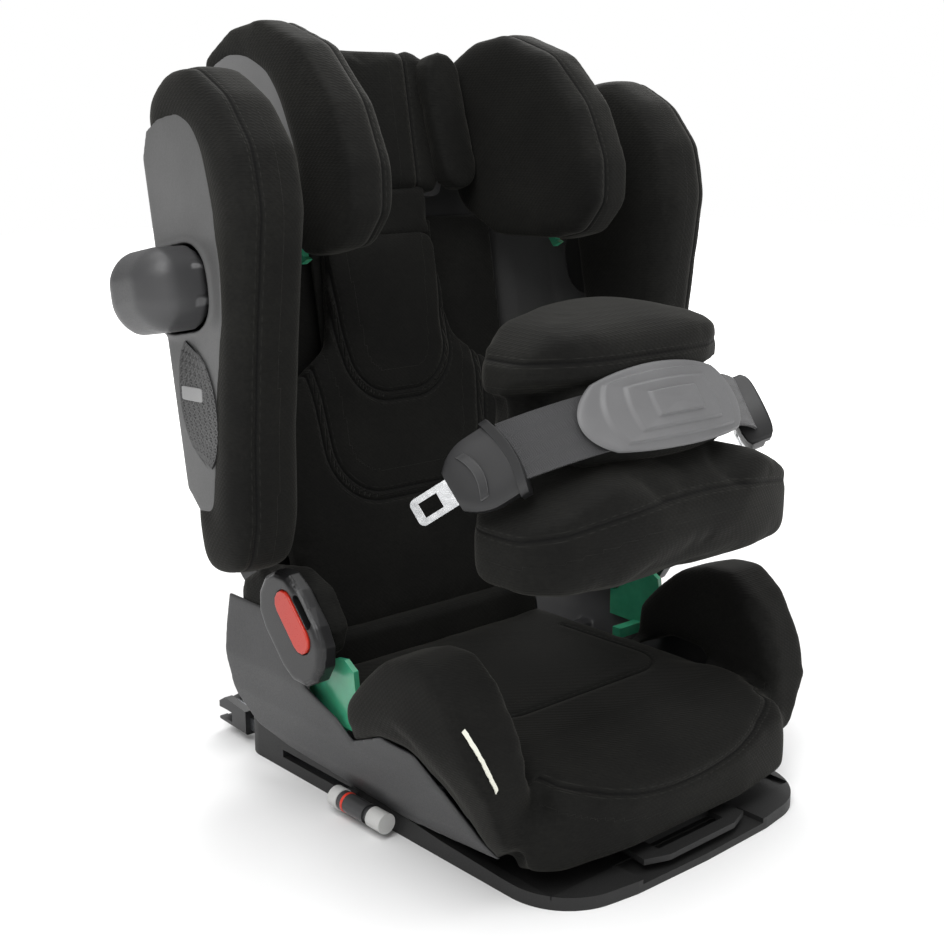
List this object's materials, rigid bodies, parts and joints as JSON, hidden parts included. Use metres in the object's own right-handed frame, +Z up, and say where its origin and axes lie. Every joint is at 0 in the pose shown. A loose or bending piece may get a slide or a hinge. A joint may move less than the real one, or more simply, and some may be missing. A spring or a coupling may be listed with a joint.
{
  "type": "child car seat",
  "caption": "High-backed child car seat with side wings, height-adjustable headrest, removable impact shield, belt buckles and a low base with pull-out anchor arms.",
  "frame": {"origin": "middle of the underside of the base mat, level with the floor", "axes": "+Z up, -Y towards the child's feet, +X to the child's left"},
  "size_m": [0.624, 0.4914, 0.6598],
  "materials": {
    "base_plastic": "moulded, fine grain",
    "shell_plastic": "moulded, satin",
    "panel_plastic": "moulded, satin grey",
    "cover_fabric": "woven, padded",
    "webbing": "woven strap",
    "shield_rubber": "ridged, satin",
    "steel": "rolled and deburred",
    "tongue_steel": "plated",
    "red_plastic": "moulded, semi gloss",
    "green_plastic": "moulded, semi gloss",
    "knob_plastic": "moulded",
    "cap_plastic": "moulded, light grey",
    "pod_plastic": "moulded, fine grain",
    "mat_rubber": "ribbed",
    "carriage_plastic": "moulded"
  },
  "bodies": {
    "base": {"base_tray": "base_plastic", "base_mat": "mat_rubber", "recline_rail_left": "steel", "recline_rail_right": "steel"},
    "anchor_slide": {"anchor_frame": "steel", "anchor_head_left": "knob_plastic", "anchor_head_right": "knob_plastic", "knob_sleeve_left": "knob_plastic", "knob_sleeve_right": "knob_plastic"},
    "jaw_left": {"anchor_jaw_left": "steel"},
    "jaw_right": {"anchor_jaw_right": "steel"},
    "release_left": {"knob_cap_left": "cap_plastic"},
    "release_right": {"knob_cap_right": "cap_plastic"},
    "booster": {"seat_pan": "shell_plastic", "seat_cushion": "cover_fabric", "side_shell_left": "shell_plastic", "side_shell_right": "shell_plastic", "bolster_left": "cover_fabric", "bolster_right": "cover_fabric", "hip_cover_left": "cover_fabric", "hip_cover_right": "cover_fabric", "buckle_pod_left": "pod_plastic", "buckle_pod_right": "pod_plastic", "belt_guide_left": "green_plastic", "belt_guide_right": "green_plastic"},
    "buckle_left": {"buckle_button_left": "red_plastic"},
    "buckle_right": {"buckle_button_right": "red_plastic"},
    "recline_pull": {"recline_handle": "pod_plastic"},
    "backrest": {"back_shell": "shell_plastic", "back_pad": "cover_fabric", "guide_tube_left": "steel", "guide_tube_right": "steel"},
    "wing_left": {"wing_shell_left": "panel_plastic", "wing_cover_left": "cover_fabric"},
    "wing_right": {"wing_shell_right": "panel_plastic", "wing_cover_right": "cover_fabric"},
    "guard_left": {"side_guard_left": "panel_plastic"},
    "guard_right": {"side_guard_right": "panel_plastic"},
    "head_slide": {"head_carriage": "carriage_plastic", "head_bib": "cover_fabric"},
    "head_lock": {"head_adjuster": "carriage_plastic"},
    "headrest": {"head_shell": "carriage_plastic", "head_pad": "cover_fabric", "head_side_shell_left": "panel_plastic", "head_side_shell_right": "panel_plastic", "head_wing_left": "cover_fabric", "head_wing_right": "cover_fabric", "ear_pad_left": "cover_fabric", "ear_pad_right": "cover_fabric", "belt_hook_left": "green_plastic", "belt_hook_right": "green_plastic"},
    "shield": {"shield_lower": "cover_fabric", "shield_core": "pod_plastic", "shield_upper": "cover_fabric", "shield_panel": "shield_rubber", "belt_webbing": "webbing", "tongue_housing_left": "pod_plastic", "tongue_housing_right": "pod_plastic", "tongue_left": "tongue_steel", "tongue_right": "tongue_steel"}
  },
  "joints": [
    {"name": "seat_recline", "type": "hinge", "parent": "base", "child": "booster", "pos_m": [0, 0.06, 0.5], "axis": [-1, 0, 0], "range_deg": [0, 10]},
    {"name": "backrest_tilt", "type": "hinge", "parent": "booster", "child": "backrest", "pos_m": [0, 0.112, 0.096], "axis": [-1, 0, 0], "range_deg": [0, 16]},
    {"name": "headrest_height", "type": "slide", "parent": "backrest", "child": "head_slide", "axis": [0, 0.1736, 0.9848], "range_m": [0, 0.165]},
    {"name": "wing_spread_left", "type": "slide", "parent": "backrest", "child": "wing_left", "axis": [-1, 0, 0], "range_m": [0, 0.025]},
    {"name": "wing_spread_right", "type": "slide", "parent": "backrest", "child": "wing_right", "axis": [1, 0, 0], "range_m": [0, 0.025]},
    {"name": "headrest_tilt", "type": "hinge", "parent": "head_slide", "child": "headrest", "pos_m": [0, 0.19171, 0.49624], "axis": [1, 0, 0], "range_deg": [0, 12]},
    {"name": "height_lock_pull", "type": "slide", "parent": "head_slide", "child": "head_lock", "axis": [0, 0.1736, 0.9848], "range_m": [0, 0.008], "stiffness_N_per_m": 400, "springref_m": -0.004},
    {"name": "side_guard_left_push", "type": "slide", "parent": "wing_left", "child": "guard_left", "axis": [1, 0, 0], "range_m": [0, 0.042]},
    {"name": "side_guard_right_push", "type": "slide", "parent": "wing_right", "child": "guard_right", "axis": [-1, 0, 0], "range_m": [0, 0.042]},
    {"name": "anchor_pull_out", "type": "slide", "parent": "base", "child": "anchor_slide", "axis": [0, 1, 0], "range_m": [0, 0.1]},
    {"name": "release_press_left", "type": "slide", "parent": "anchor_slide", "child": "release_left", "axis": [0, 1, 0], "range_m": [0, 0.005], "stiffness_N_per_m": 600, "springref_m": -0.003},
    {"name": "release_press_right", "type": "slide", "parent": "anchor_slide", "child": "release_right", "axis": [0, 1, 0], "range_m": [0, 0.005], "stiffness_N_per_m": 600, "springref_m": -0.003},
    {"name": "jaw_left_open", "type": "hinge", "parent": "anchor_slide", "child": "jaw_left", "pos_m": [-0.14, 0.213, 0.027], "axis": [1, 0, 0], "range_deg": [0, 25]},
    {"name": "jaw_right_open", "type": "hinge", "parent": "anchor_slide", "child": "jaw_right", "pos_m": [0.14, 0.213, 0.027], "axis": [1, 0, 0], "range_deg": [0, 25]},
    {"name": "buckle_press_left", "type": "slide", "parent": "booster", "child": "buckle_left", "axis": [1, 0, 0], "range_m": [0, 0.004], "stiffness_N_per_m": 700, "springref_m": -0.003},
    {"name": "buckle_press_right", "type": "slide", "parent": "booster", "child": "buckle_right", "axis": [-1, 0, 0], "range_m": [0, 0.004], "stiffness_N_per_m": 700, "springref_m": -0.003},
    {"name": "recline_handle_pull", "type": "slide", "parent": "booster", "child": "recline_pull", "axis": [0, -1, 0], "range_m": [0, 0.012], "stiffness_N_per_m": 500, "springref_m": -0.004},
    {"name": "shield_lift", "type": "slide", "parent": "booster", "child": "shield", "axis": [0, 0, 1], "range_m": [0, 0.2]}
  ],
  "couplings": [
    {"joint": "wing_spread_left", "follows": "headrest_height", "ratio": 0.15142},
    {"joint": "wing_spread_right", "follows": "headrest_height", "ratio": 0.15142},
    {"joint": "jaw_left_open", "follows": "release_press_left", "rad_per_m": 86.57},
    {"joint": "jaw_right_open", "follows": "release_press_right", "rad_per_m": 86.57}
  ]
}
